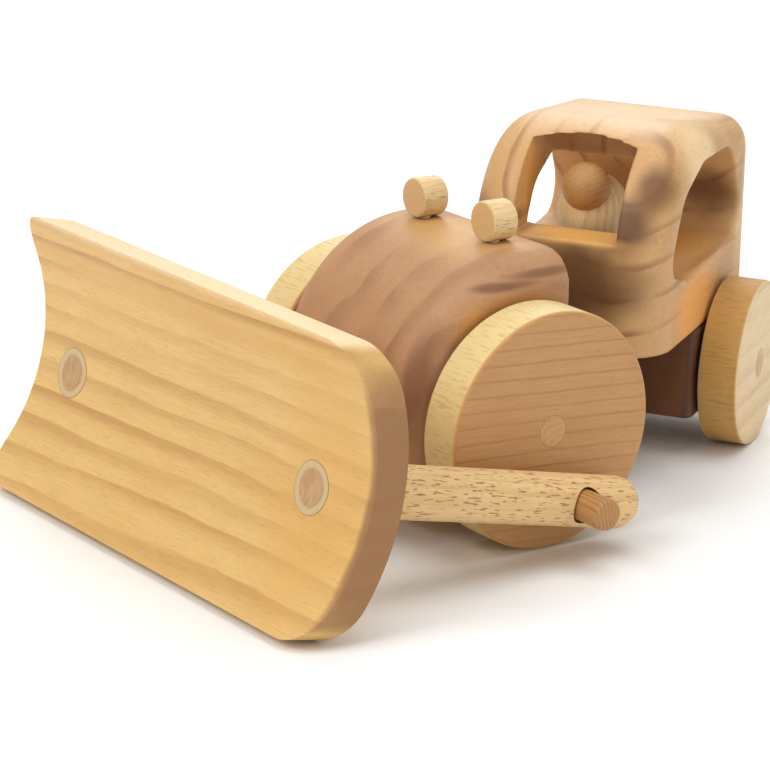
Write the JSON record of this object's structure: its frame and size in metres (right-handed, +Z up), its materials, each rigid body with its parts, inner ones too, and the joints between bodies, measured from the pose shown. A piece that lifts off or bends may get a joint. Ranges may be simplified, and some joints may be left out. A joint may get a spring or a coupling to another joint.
{
  "type": "toy tractor",
  "caption": "Wooden toy tractor, jointed in the middle, whose front wheels carry crank pegs that hold a curved dozer blade on two arms; a peg driver sits in the open cab.",
  "frame": {"origin": "on the floor, under the middle of the whole outline", "axes": "+X forward along the front part, towards the blade; +Y to its left; +Z up. The rear part stands turned 33 degrees to the left about the hitch pin."},
  "size_m": [0.2915, 0.199, 0.122],
  "materials": {
    "hood_wood": "oiled and sanded",
    "cab_wood": "oiled and sanded",
    "chassis_wood": "oiled and sanded",
    "blade_wood": "oiled and sanded",
    "wheel_wood": "oiled and sanded",
    "arm_wood": "oiled and sanded",
    "dowel_wood": "oiled and sanded",
    "light_wood": "oiled and sanded",
    "driver_wood": "oiled and sanded",
    "driver_head_wood": "oiled and sanded"
  },
  "bodies": {
    "front_body": {"hood_block": "hood_wood", "headlight_left": "light_wood", "headlight_right": "light_wood", "headlight_pins": "light_wood", "hitch_tongue": "chassis_wood", "tongue_dowels": "light_wood"},
    "front_wheelset": {"front_axle": "dowel_wood", "front_wheel_left": "wheel_wood", "front_wheel_right": "wheel_wood", "crank_peg_left": "dowel_wood", "crank_peg_right": "dowel_wood"},
    "blade_frame": {"blade": "blade_wood", "blade_arm_left": "arm_wood", "blade_arm_right": "arm_wood"},
    "rear_body": {"chassis_block": "chassis_wood", "cab_block": "cab_wood", "cab_dowels": "light_wood", "hitch_pin": "dowel_wood", "hitch_washer": "light_wood", "driver_body": "driver_wood", "driver_head": "driver_head_wood", "driver_dowel": "light_wood"},
    "rear_wheelset": {"rear_axle": "dowel_wood", "rear_wheel_left": "wheel_wood", "rear_wheel_right": "wheel_wood"}
  },
  "joints": [
    {"name": "steering", "type": "hinge", "parent": "front_body", "child": "rear_body", "pos_m": [-0.03303, -0.00119, 0.04], "axis": [0, 0, 1], "range_deg": [-78, 12]},
    {"name": "front_wheel_spin", "type": "hinge", "parent": "front_body", "child": "front_wheelset", "pos_m": [0.01897, -0.00119, 0.04], "axis": [0, 1, 0], "continuous": true},
    {"name": "blade_level", "type": "hinge", "parent": "front_wheelset", "child": "blade_frame", "pos_m": [0.01897, -0.00119, 0.02], "axis": [0, 1, 0], "continuous": true},
    {"name": "rear_wheel_spin", "type": "hinge", "parent": "rear_body", "child": "rear_wheelset", "pos_m": [-0.09258, -0.03986, 0.03], "axis": [-0.5446, 0.8387, 0], "continuous": true}
  ],
  "couplings": [
    {"joint": "blade_level", "follows": "front_wheel_spin", "ratio": -1}
  ]
}
